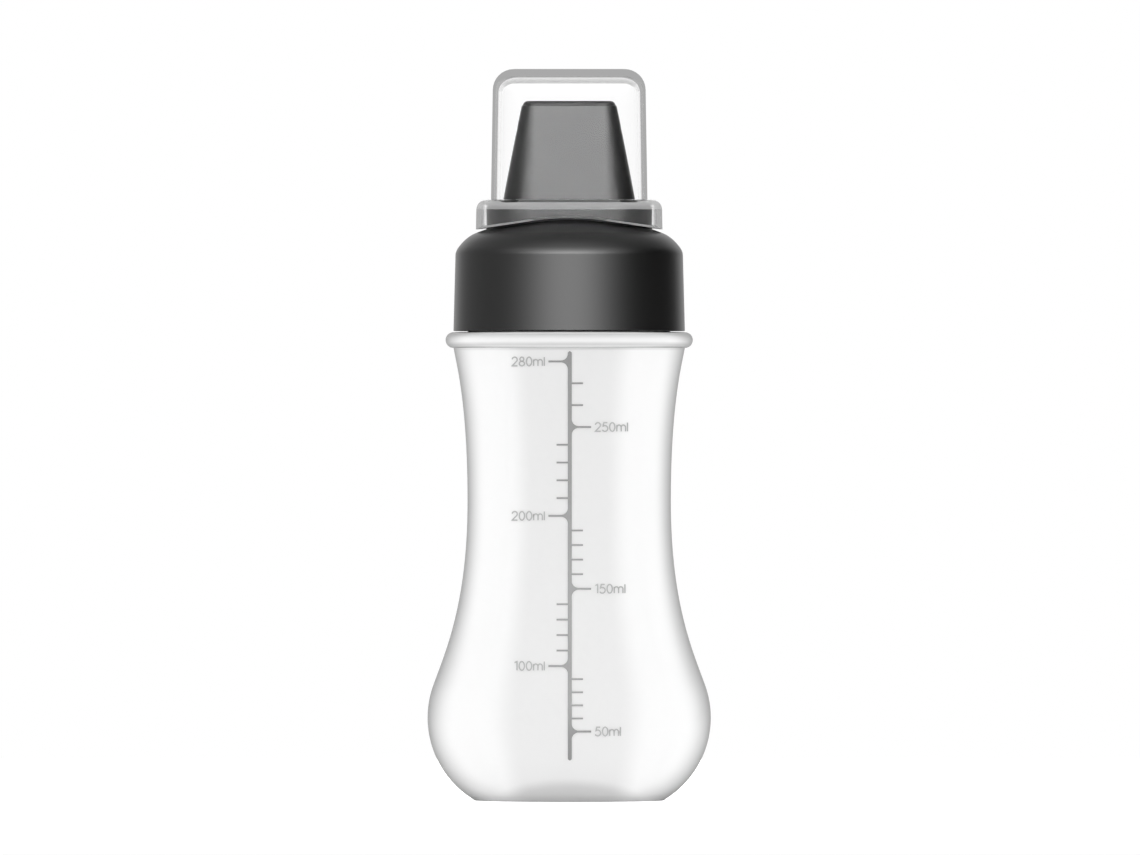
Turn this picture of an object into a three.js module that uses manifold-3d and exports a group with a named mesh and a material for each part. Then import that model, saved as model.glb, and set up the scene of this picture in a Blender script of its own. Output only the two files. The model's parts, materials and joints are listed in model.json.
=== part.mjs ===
// A squeeze bottle for sauces, with a screw cap that pours five lines at once.
// Millimetres, +Z up. The origin is the centre of the base, on the table.
// Four mouldings: the blown bottle, the screw cap with its flat nozzle,
// the soft sealing ring inside the cap, and the clear dust cover.

import * as THREE from 'three';
import { mergeVertices } from 'three/addons/utils/BufferGeometryUtils.js';
import Module from 'manifold-3d';

const wasm = await Module();
wasm.setup();

// Bottle body
const baseRadius = 24;
const standWidth = 1.7;
const puntHeight = 4.4;
const bulgeRadius = 36;
const bulgeHeight = 21;
const bulgeTopAngle = 20;
const waistRadius = 25.85;
const waistHeight = 76;
const bodyHeight = 114.9;
const flareAngle = 9;
const bottleWall = 1.2;

// Support bead and neck
const beadRadius = 31.4;
const beadHeight = 4;
const neckRadius = 25.5;
const neckHeight = 19.1;
const neckWall = 1.5;
const lipRound = 0.4;

// Screw thread, shared by the neck and the cap
const threadLead = 4.2;
const threadTurns = 2.25;
const threadStart = 4.5;
const threadHeight = 1.3;
const threadRootWidth = 2;
const threadCrestWidth = 0.9;
const threadClearance = 0.5;
const threadFlankGap = 0.3;
const threadOverlap = 0.5;
const threadRoot = 0.4;
const threadRunOut = 0.2;

// Sealing ring
const sealThickness = 1.5;
const sealWidth = 3.8;
const sealGap = 0.1;
const sealSideGap = 0.3;

// Screw cap
const capGap = 0.3;
const capWall = 1.6;
const capDraft = 0.5;
const capChamfer = 0.4;
const capCrease = 0.9;
const creaseDrop = 0.4;
const seatShelf = 0.2;
const shoulderSpan = 5.4;
const shoulderFullness = 0.58;
const domeRadius = 66;
const domeRise = 8.8;
const roofWall = 2;

// Plinth under the nozzle
const plinthLength = 42.2;
const plinthDepth = 24.8;
const plinthCorner = 11.5;
const plinthRise = 1.9;
const plinthRound = 0.7;

// Nozzle
const nozzleLine = 17.2;
const nozzleBaseRadius = 8.9;
const nozzleTopRadius = 3.2;
const nozzleHeight = 27.2;
const nozzleRound = 1.3;
const nozzleFoot = 0.8;
const nozzleWall = 1.6;
const holeCount = 5;
const holeRadius = 1.1;

// Dust cover
const coverGap = 0.3;
const coverRimGap = 0.9;
const coverFit = 0.5;
const coverSkirtWall = 2;
const coverShelf = 1.8;
const coverShelfRound = 2.5;
const coverSkirtDraft = 0.2;
const coverAround = 0.95;
const coverWall = 1.4;
const coverCorner = 7;
const coverHeadroom = 6.15;
const coverRoof = 1.9;
const coverRound = 5.3;
const coverDraft = 0.45;

// Facets
const roundSides = 48;
const threadSides = 32;
const outsideSteps = { base: 8, bulge: 3, lower: 8, upper: 6, punt: 4 };
const insideSteps = { base: 6, bulge: 2, lower: 6, upper: 4, punt: 3 };
const beadSteps = 6;
const cornerSteps = 6;
const edgeSteps = 4;
const holeSides = 16;

// Heights in the bottle's frame
const beadTop = bodyHeight + beadHeight;
const neckTop = beadTop + neckHeight;
const capBottom = beadTop + capGap;

// Heights in the closure's frame, from the cap's lower edge
const sealBottom = neckTop - capBottom + sealGap;
const seatHeight = sealBottom + sealThickness + sealGap;
const domeApex = seatHeight + domeRise;
const plinthTop = domeApex + plinthRise;
const nozzleTop = plinthTop + nozzleHeight;
const shelfUnder = plinthTop + coverGap;
const coverTop = nozzleTop + coverHeadroom + coverRoof;

// Radii that fit each other
const capBore = neckRadius + threadHeight + threadClearance;
const capTopRadius = capBore + capWall;
const sealOuter = capBore - sealSideGap;
const sealInner = sealOuter - sealWidth;

const point = (radius, height) => new THREE.Vector2(radius, height);
const radians = THREE.MathUtils.degToRad;

// Points of an arc in the section plane, angles in degrees
function arc(centre, radius, from, to, steps) {
  return Array.from({ length: steps + 1 }, (_, step) => {
    const angle = radians(from + (to - from) * step / steps);
    const across = radius * Math.cos(angle);
    return point(centre.x + (Math.abs(across) < 1e-9 ? 0 : across), centre.y + radius * Math.sin(angle));
  });
}

// Moves each point of an open outline sideways, to the left of its direction
function offset(outline, distance) {
  return outline.map((here, index) => {
    const before = outline[Math.max(index - 1, 0)];
    const after = outline[Math.min(index + 1, outline.length - 1)];
    const along = after.clone().sub(before).normalize();
    return point(here.x - along.y * distance, here.y + along.x * distance);
  });
}

// Joins equal corners and drops the triangles that close up
function weld(geometry) {
  const bare = geometry.clone();
  bare.deleteAttribute('normal');
  bare.deleteAttribute('uv');
  const merged = mergeVertices(bare, 1e-4);
  const corners = merged.index.array;
  const kept = [];
  for (let first = 0; first < corners.length; first += 3) {
    const [a, b, c] = corners.slice(first, first + 3);
    if (a !== b && b !== c && c !== a) kept.push(a, b, c);
  }
  merged.setIndex(kept);
  return merged;
}

function solid(geometry) {
  const welded = weld(geometry);
  return new wasm.Manifold(new wasm.Mesh({
    numProp: 3,
    vertProperties: new Float32Array(welded.attributes.position.array),
    triVerts: new Uint32Array(welded.index.array),
  }));
}

function geometryOf(manifold) {
  const mesh = manifold.getMesh();
  const geometry = new THREE.BufferGeometry();
  geometry.setAttribute('position', new THREE.BufferAttribute(mesh.vertProperties, 3));
  geometry.setIndex(new THREE.BufferAttribute(mesh.triVerts, 1));
  geometry.computeVertexNormals();
  return geometry;
}

// Turns a section of radius and height about the Z axis
function turned(section) {
  const geometry = new THREE.LatheGeometry(section, roundSides);
  return solid(geometry.rotateX(Math.PI / 2));
}

// Joins rings of equal length, anticlockwise about the way they are stacked
function loft(rings) {
  const count = rings[0].length;
  const places = rings.flat();
  const index = [];
  for (let ring = 0; ring + 1 < rings.length; ring += 1) {
    for (let side = 0; side < count; side += 1) {
      const next = (side + 1) % count;
      const low = ring * count;
      const high = low + count;
      index.push(low + side, low + next, high + next);
      index.push(low + side, high + next, high + side);
    }
  }
  const last = places.length - count;
  for (let side = 1; side + 1 < count; side += 1) {
    index.push(0, side + 1, side);
    index.push(last, last + side, last + side + 1);
  }
  const geometry = new THREE.BufferGeometry().setFromPoints(places);
  geometry.setIndex(index);
  return solid(geometry);
}

// A level ring with rounded corners
function roundedRing({ halfLength, halfDepth, corner, height }) {
  const quarters = [[1, 1, 0], [-1, 1, 90], [-1, -1, 180], [1, -1, 270]];
  return quarters.flatMap(([sideX, sideY, start]) => {
    const centre = point(sideX * (halfLength - corner), sideY * (halfDepth - corner));
    return arc(centre, corner, start, start + 90, cornerSteps)
      .map((place) => new THREE.Vector3(place.x, place.y, height));
  });
}

// The same ring drawn in or out by one distance all round
function grown(ring, distance, height) {
  return roundedRing({
    halfLength: ring.halfLength + distance,
    halfDepth: ring.halfDepth + distance,
    corner: ring.corner + distance,
    height,
  });
}

// Rings of a quarter-round edge that turns in at the top
function roundedTop(ring, radius, top) {
  return Array.from({ length: edgeSteps + 1 }, (_, step) => {
    const angle = radians(90 * step / edgeSteps);
    return grown(ring, radius * (Math.cos(angle) - 1), top + radius * (Math.sin(angle) - 1));
  });
}

// One ridge of the screw thread: it runs out into the wall at both ends
function threadRidge({ wallRadius, outward, turns, startAngle, startHeight }) {
  const steps = Math.round(turns * threadSides);
  const direction = outward ? 1 : -1;
  const rings = Array.from({ length: steps + 1 }, (_, step) => {
    const turn = turns * step / steps;
    const fromEnd = Math.min(turn, turns - turn);
    const rise = Math.min(fromEnd / threadRunOut, 1);
    const angle = startAngle + turn * 2 * Math.PI;
    const height = startHeight + turn * threadLead;
    const root = wallRadius - direction * threadRoot;
    const crest = root + direction * (threadRoot + threadHeight) * Math.max(rise, 0.1);
    const place = (radius, lift) => new THREE.Vector3(
      radius * Math.cos(angle), radius * Math.sin(angle), height + lift);
    const [inner, outer] = outward ? [root, crest] : [crest, root];
    const [innerHalf, outerHalf] = outward
      ? [threadRootWidth / 2, threadCrestWidth / 2]
      : [threadCrestWidth / 2, threadRootWidth / 2];
    return [place(inner, innerHalf), place(outer, outerHalf), place(outer, -outerHalf), place(inner, -innerHalf)];
  });
  return loft(rings);
}

// Outer line of the blown body, from the base up to the bead
function bodyOutline(steps) {
  const reach = bulgeRadius - baseRadius;
  const bulgeArc = (reach ** 2 + bulgeHeight ** 2) / (2 * reach);
  const centre = point(bulgeRadius - bulgeArc, bulgeHeight);
  const baseAngle = THREE.MathUtils.radToDeg(Math.asin(bulgeHeight / bulgeArc));
  const base = arc(centre, bulgeArc, -baseAngle, 0, steps.base);
  const bulge = arc(centre, bulgeArc, 0, bulgeTopAngle, steps.bulge);

  const bulgeEnd = bulge[bulge.length - 1];
  const drop = waistHeight - bulgeEnd.y;
  const slope = radians(bulgeTopAngle);
  const waist = point(waistRadius, waistHeight);
  const lower = new THREE.CubicBezierCurve(
    bulgeEnd,
    point(bulgeEnd.x - 0.2 * drop * Math.sin(slope), bulgeEnd.y + 0.2 * drop * Math.cos(slope)),
    point(waistRadius, waistHeight - 0.55 * drop),
    waist,
  ).getPoints(steps.lower);

  const rise = bodyHeight - waistHeight;
  const flare = radians(flareAngle);
  const top = point(beadRadius - beadHeight / 2, bodyHeight);
  const upper = new THREE.CubicBezierCurve(
    waist,
    point(waistRadius, waistHeight + 0.65 * rise),
    point(top.x - 0.1 * rise * Math.sin(flare), top.y - 0.1 * rise * Math.cos(flare)),
    top,
  ).getPoints(steps.upper);
  return [...base, ...bulge.slice(1), ...lower.slice(1), ...upper.slice(1)];
}

// Underside of the base, pushed up in the middle so that it stands on a ring
function puntOutline(lift, steps) {
  const standInner = baseRadius - standWidth;
  const radius = (standInner ** 2 + puntHeight ** 2) / (2 * puntHeight);
  const centre = point(0, puntHeight - radius);
  const edgeAngle = THREE.MathUtils.radToDeg(Math.acos(standInner / radius));
  return arc(centre, radius, 90, edgeAngle, steps.punt).map((place) => point(place.x, place.y + lift));
}

function bottleGeometry() {
  const inside = offset(bodyOutline(insideSteps).slice(0, -1), bottleWall).reverse();
  const beadCentre = point(beadRadius - beadHeight / 2, bodyHeight + beadHeight / 2);
  const bead = arc(beadCentre, beadHeight / 2, -90, 90, beadSteps);
  const neckBore = neckRadius - neckWall;
  const throat = new THREE.QuadraticBezierCurve(
    point(neckBore, beadTop),
    point(neckBore, bodyHeight + bottleWall),
    inside[0],
  ).getPoints(3);
  const section = [
    ...puntOutline(0, outsideSteps),
    ...bodyOutline(outsideSteps),
    ...bead.slice(1),
    point(neckRadius + lipRound, beadTop),
    point(neckRadius, beadTop + lipRound),
    point(neckRadius, neckTop - lipRound),
    point(neckRadius - lipRound, neckTop),
    point(neckBore, neckTop),
    ...throat,
    ...inside.slice(1),
    ...puntOutline(bottleWall, insideSteps).reverse(),
  ];
  const thread = threadRidge({
    wallRadius: neckRadius,
    outward: true,
    turns: threadTurns,
    startAngle: 0,
    startHeight: beadTop + threadStart,
  });
  return geometryOf(turned(section).add(thread));
}

function sealGeometry() {
  const top = sealBottom + sealThickness;
  return geometryOf(turned([
    point(sealInner, sealBottom),
    point(sealOuter, sealBottom),
    point(sealOuter, top),
    point(sealInner, top),
    point(sealInner, sealBottom),
  ]));
}

// Outer line of the cap's wall, shoulder and dome, from its lower edge to the axis
function capOutline() {
  const domeCentre = domeApex - domeRadius;
  const blendRadius = capTopRadius - shoulderSpan;
  const blendAngle = Math.acos(blendRadius / domeRadius);
  const blend = point(blendRadius, domeCentre + domeRadius * Math.sin(blendAngle));
  const crease = point(capTopRadius, seatHeight - creaseDrop);
  const fullest = shoulderSpan * shoulderFullness;
  const shoulder = new THREE.QuadraticBezierCurve(
    crease,
    point(blendRadius + fullest, blend.y - fullest / Math.tan(blendAngle)),
    blend,
  );
  const shoulderLow = 0.14;
  const creaseRound = new THREE.QuadraticBezierCurve(
    point(capTopRadius, crease.y - capCrease),
    crease,
    shoulder.getPoint(shoulderLow),
  ).getPoints(3);
  const shoulderSteps = 5;
  const shoulderPoints = Array.from({ length: shoulderSteps }, (_, step) =>
    shoulder.getPoint(shoulderLow + (1 - shoulderLow) * (step + 1) / shoulderSteps));
  const dome = arc(point(0, domeCentre), domeRadius, THREE.MathUtils.radToDeg(blendAngle), 90, 6);
  const lowRadius = capTopRadius + capDraft;
  return [
    point(lowRadius - capChamfer, 0),
    point(lowRadius, capChamfer),
    ...creaseRound,
    ...shoulderPoints,
    ...dome.slice(1),
  ];
}

// The space inside the cap: bore, seat for the sealing ring and underside of the dome
function capHollow() {
  const below = -1;
  const seatInner = sealInner - seatShelf;
  const underRadius = domeRadius - roofWall;
  const underCentre = domeApex - domeRadius;
  const underAngle = THREE.MathUtils.radToDeg(Math.acos(seatInner / underRadius));
  return turned([
    point(0, below),
    point(capBore, below),
    point(capBore, seatHeight),
    point(seatInner, seatHeight),
    ...arc(point(0, underCentre), underRadius, underAngle, 90, 5),
  ]);
}

const plinthRing = { halfLength: plinthLength / 2, halfDepth: plinthDepth / 2, corner: plinthCorner };

function plinth() {
  return loft([grown(plinthRing, 0, seatHeight), ...roundedTop(plinthRing, plinthRound, plinthTop)]);
}

// The plinth is cored out from below to an even wall
function plinthHollow() {
  return loft([
    grown(plinthRing, -roofWall, seatHeight),
    grown(plinthRing, -roofWall, plinthTop - roofWall),
  ]);
}

// Half-depth and end radius of the nozzle at a height above the plinth
function nozzleRing(height) {
  const radius = nozzleBaseRadius + (nozzleTopRadius - nozzleBaseRadius) * height / nozzleHeight;
  return { halfLength: nozzleLine / 2 + radius, halfDepth: radius, corner: radius };
}

function nozzle() {
  const rings = [grown(nozzleRing(0), nozzleFoot, plinthTop - roofWall / 2)];
  for (let step = 0; step <= edgeSteps; step += 1) {
    const angle = radians(90 * step / edgeSteps);
    const height = nozzleFoot * (1 - Math.cos(angle));
    rings.push(grown(nozzleRing(height), nozzleFoot * (1 - Math.sin(angle)), plinthTop + height));
  }
  const rounded = roundedTop(nozzleRing(nozzleHeight), nozzleRound, nozzleTop);
  rings.push(grown(nozzleRing(nozzleHeight - nozzleRound), 0, nozzleTop - nozzleRound));
  return loft([...rings, ...rounded.slice(1)]);
}

function nozzleHollow() {
  const roofHeight = nozzleHeight - nozzleWall;
  return loft([
    grown(nozzleRing(0), -nozzleWall, plinthTop - 2 * roofWall),
    grown(nozzleRing(0), -nozzleWall, plinthTop),
    grown(nozzleRing(roofHeight), -nozzleWall, plinthTop + roofHeight),
  ]);
}

function pouringHoles() {
  const pitch = nozzleLine / (holeCount - 1);
  const length = 4 * nozzleWall;
  return Array.from({ length: holeCount }, (_, index) => {
    const bit = new THREE.CylinderGeometry(holeRadius, holeRadius, length, holeSides);
    bit.rotateX(Math.PI / 2);
    bit.translate(index * pitch - nozzleLine / 2, 0, nozzleTop);
    return solid(bit);
  });
}

function screwCapGeometry() {
  const outline = capOutline();
  let cap = turned([point(0, 0), ...outline]).add(plinth()).add(nozzle());
  cap = cap.subtract(capHollow()).subtract(plinthHollow()).subtract(nozzleHollow());
  for (const hole of pouringHoles()) cap = cap.subtract(hole);

  const flanks = (threadRootWidth + threadCrestWidth) / 2;
  const thread = threadRidge({
    wallRadius: capBore,
    outward: false,
    turns: threadTurns - threadOverlap,
    startAngle: threadOverlap * 2 * Math.PI,
    startHeight: threadStart - capGap + threadOverlap * threadLead - flanks - threadFlankGap,
  });
  return geometryOf(cap.add(thread));
}

function dustCoverGeometry() {
  const skirtInner = {
    halfLength: plinthRing.halfLength + coverFit,
    halfDepth: plinthRing.halfDepth + coverFit,
    corner: plinthRing.corner + coverFit,
  };
  const foot = nozzleRing(0);
  const boxInner = {
    halfLength: foot.halfLength + coverAround,
    halfDepth: foot.halfDepth + coverAround,
    corner: coverCorner - coverWall,
  };
  const skirtFoot = seatHeight;
  const shelfTop = shelfUnder + coverShelf;
  const shelfEdge = roundedTop(skirtInner, coverShelfRound, shelfTop);
  const boxTop = roundedTop(boxInner, coverRound, coverTop);
  const skirtRings = Array.from(shelfEdge.keys(), (step) => {
    const angle = radians(90 * step / edgeSteps);
    const inward = coverShelfRound * (Math.cos(angle) - 1);
    return grown(skirtInner, coverSkirtWall + inward, shelfEdge[step][0].z);
  });
  const boxRings = Array.from(boxTop.keys(), (step) => {
    const angle = radians(90 * step / edgeSteps);
    const inward = coverRound * (Math.cos(angle) - 1);
    return grown(boxInner, coverWall - coverDraft + inward, boxTop[step][0].z);
  });
  const outside = loft([
    grown(skirtInner, coverSkirtWall + coverSkirtDraft, skirtFoot),
    ...skirtRings,
    grown(boxInner, coverWall, shelfTop),
    ...boxRings,
  ]);
  const innerRound = coverRound - coverWall;
  const innerTop = coverTop - coverRoof;
  const inside = loft([
    grown(skirtInner, coverSkirtDraft, skirtFoot - 1),
    grown(skirtInner, 0, shelfUnder),
    grown(boxInner, 0, shelfUnder),
    grown(boxInner, -coverDraft, innerTop - innerRound),
    grown(boxInner, -coverDraft - innerRound * (1 - Math.SQRT1_2), innerTop - innerRound * (1 - Math.SQRT1_2)),
    grown(boxInner, -coverDraft - innerRound, innerTop),
  ]);
  const domeSpace = offset(capOutline(), -coverRimGap);
  domeSpace[domeSpace.length - 1].x = 0;
  return geometryOf(outside.subtract(inside).subtract(turned([point(0, 0), ...domeSpace])));
}

const bottleMaterial = new THREE.MeshStandardMaterial({
  color: 0xeeeeec, roughness: 0.35, metalness: 0, transparent: true, opacity: 0.45,
});
const capMaterial = new THREE.MeshStandardMaterial({ color: 0x2e2e2f, roughness: 0.55, metalness: 0 });
const sealMaterial = new THREE.MeshStandardMaterial({ color: 0xd9d9d4, roughness: 0.7, metalness: 0 });
const coverMaterial = new THREE.MeshStandardMaterial({
  color: 0xf7f8f8, roughness: 0.08, metalness: 0, transparent: true, opacity: 0.25,
});

function piece(name, geometry, material) {
  const mesh = new THREE.Mesh(geometry, material);
  mesh.name = name;
  return mesh;
}

const closure = new THREE.Group();
closure.position.z = capBottom;
closure.add(
  piece('cap_seal', sealGeometry(), sealMaterial),
  piece('screw_cap', screwCapGeometry(), capMaterial),
  piece('dust_cover', dustCoverGeometry(), coverMaterial),
);

const squeezeBottle = new THREE.Group();
squeezeBottle.add(piece('bottle', bottleGeometry(), bottleMaterial), closure);

export default squeezeBottle;
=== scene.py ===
# Looks of the squeeze bottle: the blown bottle with its printed scale, the screw cap
# with its flat nozzle, the sealing ring inside and the clear dust cover.
# Metres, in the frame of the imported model.

import json
import math

import bmesh
import bpy
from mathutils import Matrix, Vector

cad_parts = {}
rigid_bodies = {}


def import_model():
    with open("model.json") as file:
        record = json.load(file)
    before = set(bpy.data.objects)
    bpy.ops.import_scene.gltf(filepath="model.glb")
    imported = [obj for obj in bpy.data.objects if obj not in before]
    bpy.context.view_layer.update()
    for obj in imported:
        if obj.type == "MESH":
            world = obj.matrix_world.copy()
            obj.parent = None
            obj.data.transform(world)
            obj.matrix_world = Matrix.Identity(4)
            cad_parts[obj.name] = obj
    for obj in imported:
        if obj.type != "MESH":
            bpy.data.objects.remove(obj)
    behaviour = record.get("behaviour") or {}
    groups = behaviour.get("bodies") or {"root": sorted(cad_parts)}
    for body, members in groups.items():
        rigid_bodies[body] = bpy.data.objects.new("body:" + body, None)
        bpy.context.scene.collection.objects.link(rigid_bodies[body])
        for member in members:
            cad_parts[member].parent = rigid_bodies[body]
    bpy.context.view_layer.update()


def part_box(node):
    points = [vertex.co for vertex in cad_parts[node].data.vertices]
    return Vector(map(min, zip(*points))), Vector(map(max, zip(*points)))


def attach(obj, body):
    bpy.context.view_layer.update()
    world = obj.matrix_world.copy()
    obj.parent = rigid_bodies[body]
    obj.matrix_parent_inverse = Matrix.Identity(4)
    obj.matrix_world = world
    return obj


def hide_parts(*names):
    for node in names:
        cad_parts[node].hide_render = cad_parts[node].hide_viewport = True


for leftover in list(bpy.data.objects):
    bpy.data.objects.remove(leftover)

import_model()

MM = 0.001

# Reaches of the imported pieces
bottle_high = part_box("bottle")[1]
seal_low, seal_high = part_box("cap_seal")
cap_low, cap_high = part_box("screw_cap")
cover_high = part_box("dust_cover")[1]

# Bottle body; each pull is a Bezier handle's reach as a share of its curve's height
BASE_RADIUS = 24 * MM
STAND_WIDTH = 1.7 * MM
PUNT_HEIGHT = 4.4 * MM
BULGE_RADIUS = bottle_high[0]
BULGE_HEIGHT = 21 * MM
BULGE_TOP_ANGLE = 20
BULGE_PULL = 0.2
WAIST_RADIUS = 25.85 * MM
WAIST_HEIGHT = 76 * MM
WAIST_PULL_DOWN = 0.55
WAIST_PULL_UP = 0.65
BODY_HEIGHT = 114.9 * MM
FLARE_ANGLE = 9
FLARE_PULL = 0.1
BOTTLE_WALL = 1.2 * MM
INK_THICKNESS = 0.03 * MM

# Support bead and neck
BEAD_RADIUS = 31.4 * MM
BEAD_HEIGHT = 4 * MM
BEAD_TOP = BODY_HEIGHT + BEAD_HEIGHT
NECK_RADIUS = 25.5 * MM
NECK_TOP = bottle_high[2]
NECK_WALL = 1.5 * MM
NECK_FOOT_ROUND = 0.6 * MM
LIP_ROUND = 0.4 * MM

# Screw thread
THREAD_LEAD = 4.2 * MM
THREAD_TURNS = 2.25
THREAD_START = 4.5 * MM
THREAD_HEIGHT = 1.3 * MM
THREAD_ROOT_WIDTH = 2 * MM
THREAD_CREST_WIDTH = 0.9 * MM
THREAD_CLEARANCE = 0.5 * MM
THREAD_FLANK_GAP = 0.3 * MM
THREAD_OVERLAP = 0.5
THREAD_ROOT = 0.4 * MM
THREAD_RUN_OUT = 0.2
THREAD_LEAST_RISE = 0.1

# Sealing ring
SEAL_WIDTH = 3.8 * MM
SEAL_EDGE = 0.25 * MM
SEAL_INNER = seal_high[0] - SEAL_WIDTH
SEAL_GAP = seal_low[2] - NECK_TOP

# Screw cap
CAP_BOTTOM = cap_low[2]
CAP_BORE = NECK_RADIUS + THREAD_HEIGHT + THREAD_CLEARANCE
CAP_FOOT_RADIUS = cap_high[0]
CAP_DRAFT = 0.5 * MM
CAP_TOP_RADIUS = CAP_FOOT_RADIUS - CAP_DRAFT
CAP_EDGE_ROUND = 0.15 * MM
CAP_CREASE = 0.9 * MM
CREASE_DROP = 0.4 * MM
SEAT_HEIGHT = seal_high[2] + SEAL_GAP
SEAT_SHELF = 0.2 * MM
SHOULDER_SPAN = 5.4 * MM
SHOULDER_FULLNESS = 0.58
SHOULDER_LOW = 0.14
DOME_RADIUS = 66 * MM
DOME_APEX = SEAT_HEIGHT + 8.8 * MM
DOME_CENTRE = DOME_APEX - DOME_RADIUS
ROOF_WALL = 2 * MM
CUT_PAST = 1 * MM

# Plinth and nozzle
PLINTH_HALF_LENGTH = 21.1 * MM
PLINTH_HALF_DEPTH = 12.4 * MM
PLINTH_CORNER = 11.5 * MM
PLINTH_TOP = DOME_APEX + 1.9 * MM
PLINTH_ROUND = 0.7 * MM
NOZZLE_TOP = cap_high[2]
NOZZLE_HEIGHT = NOZZLE_TOP - PLINTH_TOP
NOZZLE_HALF_LINE = 8.6 * MM
NOZZLE_BASE_RADIUS = 8.9 * MM
NOZZLE_TOP_RADIUS = 3.2 * MM
NOZZLE_ROUND = 1.3 * MM
NOZZLE_FOOT = 0.8 * MM
NOZZLE_WALL = 1.6 * MM
HOLE_COUNT = 5
HOLE_RADIUS = 1.1 * MM
HOLE_DEPTH = 4 * NOZZLE_WALL

# Dust cover
COVER_GAP = 0.3 * MM
COVER_RIM_GAP = 0.9 * MM
COVER_FIT = 0.5 * MM
COVER_SKIRT_WALL = 2 * MM
COVER_SKIRT_DRAFT = 0.2 * MM
COVER_SHELF = 1.8 * MM
COVER_SHELF_ROUND = 2.5 * MM
COVER_SHELF_UNDER = PLINTH_TOP + COVER_GAP
COVER_SHELF_TOP = COVER_SHELF_UNDER + COVER_SHELF
COVER_AROUND = 0.95 * MM
COVER_WALL = 1.4 * MM
COVER_CORNER = 7 * MM
COVER_TOP = cover_high[2]
COVER_ROOF = 1.9 * MM
COVER_ROUND = 5.3 * MM
COVER_DRAFT = 0.45 * MM

# Printed scale: volumes and heights of the numbered marks, and the side of each; the
# heights allow for the camera's perspective
SCALE_MARKS = (
    (280, 111.36 * MM, -1),
    (250, 94.82 * MM, 1),
    (200, 72.36 * MM, -1),
    (150, 53.95 * MM, 1),
    (100, 34.52 * MM, -1),
    (50, 18.02 * MM, 1),
)
SCALE_TOP = 113.98 * MM
SCALE_FOOT = 10.67 * MM
SCALE_CENTRE = 0.15 * MM
SPINE_WIDTH = 0.98 * MM
SPINE_TIP = 0.05
MARK_LENGTH = 4.9 * MM
MARK_WIDTH = 0.46 * MM
MARK_FLARE = 1.75 * MM
STEP_LENGTH = 2.85 * MM
STEP_WIDTH = 0.42 * MM
STEP_VOLUME = 10
LABEL_GAP = 1.05 * MM
FIGURE_HEIGHT = 2.2 * MM
FIGURE_WIDTH = 0.6
FIGURE_STROKE = 0.31 * MM
FIGURE_SPACE = 0.5 * MM
RIBBON_STEP = 0.3 * MM
LOOP_GAP = 1e-9
SHARPEST_BEND = 0.5
FILM_SHARE = 0.8

# Dark satin plastic of the cap
CAP_DARK = 0.002
CAP_PALE = 0.0035
CAP_ROUGHNESS = 0.34
CAP_ROUGHER = 0.03
CAP_IOR = 1.5
CAP_GLOSS = 0.5
CAP_GRAIN = 0.35 * MM
CAP_CLOUD = 9 * MM
CAP_BUMP = 0.0005 * MM

# Milky plastic of the bottle; from the bead's foot to its top, its bands are a painted
# highlight between two bands of painted shade, where light falls on the round bead
MILK_TONE = 0.97
MILK_CLOUD = 14 * MM
MILK_CLOUD_SHADE = 0.01
MILK_FLOW = 1.2 * MM
MILK_BUMP = 0.012 * MM
MILK_ROUGHNESS = 0.5
MILK_ROUGHER = 0.06
MILK_IOR = 1.45
MILK_GLOSS = 0.1
MILK_SUBSURFACE = 1.0
MILK_DEPTH = 0.8 * MM
# Painted shade: the bottle is greyer at its front and back than at its sides, where more light falls
FRONT_SPAN = (0.35, 0.65)
FRONT_PAINTED_SHADE = 0.155
# Painted shade: a grey arch at the heel, where the pushed-up base shows through the wall
HEEL_SPAN = (3.4 * MM, 6.6 * MM)
HEEL_ARCH = 9 * MM
HEEL_PAINTED_SHADE = 0.19
# Painted shade: a dark band just under the bead
UNDER_BEAD_SHADE_SPAN = (BODY_HEIGHT - 0.8 * MM, BODY_HEIGHT - 0.35 * MM)
UNDER_BEAD_PAINTED_SHADE = 0.13
BEAD_BEGINS = (BODY_HEIGHT - 0.15 * MM, BODY_HEIGHT + 0.05 * MM)
BEAD_ENDS = (BEAD_TOP, BEAD_TOP + 0.2 * MM)
BEAD_PAINTED_BANDS = (
    (0.0, 0.88),
    (0.2, 0.64),
    (0.41, 0.88),
    (0.62, 0.8),
    (0.83, 0.62),
    (1.0, 0.88),
)
GRAZED_TONE = 0.45
GRAZED_ROUGHNESS = 0.3
GRAZED_SPAN = (0.42, 0.95)

# Clear plastic of the cover, and where pale satin is mixed in as a painted highlight for its refractions
# and glints
COVER_TONE = 1.0
COVER_IOR = 1.45
COVER_GLOSS = 0.3
COVER_ROUGHNESS = 0.01
COVER_ROUGHER = 0.02
COVER_CLOUD = 8 * MM
SATIN_TONE = 0.9
SATIN_ROUGHNESS = 0.5
# Painted highlight: shares of pale satin on the shelf, skirt and lower rim
SHELF_SATIN_HIGHLIGHT = 0.34
SKIRT_SATIN_HIGHLIGHT = 0.05
RIM_HIGHLIGHT_FRONT = 0.4
RIM_HIGHLIGHT_ENDS = 0.8
RIM_BELOW_SHELF = 0.2 * MM
RIM_FACING = -0.3
ZONE_MARGIN = 0.1 * MM
WALL_EDGE_TONE = 0.63
ROOF_SPAN = (COVER_TOP - 4 * MM, COVER_TOP - 2 * MM)
GRAZE_WALL = 0.52
GRAZE_ROOF = 0.2
GRAZE_FADE = 0.06
GRAZE_INNER = (0.72, 0.85)
INNER_EDGE = 0.6

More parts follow.
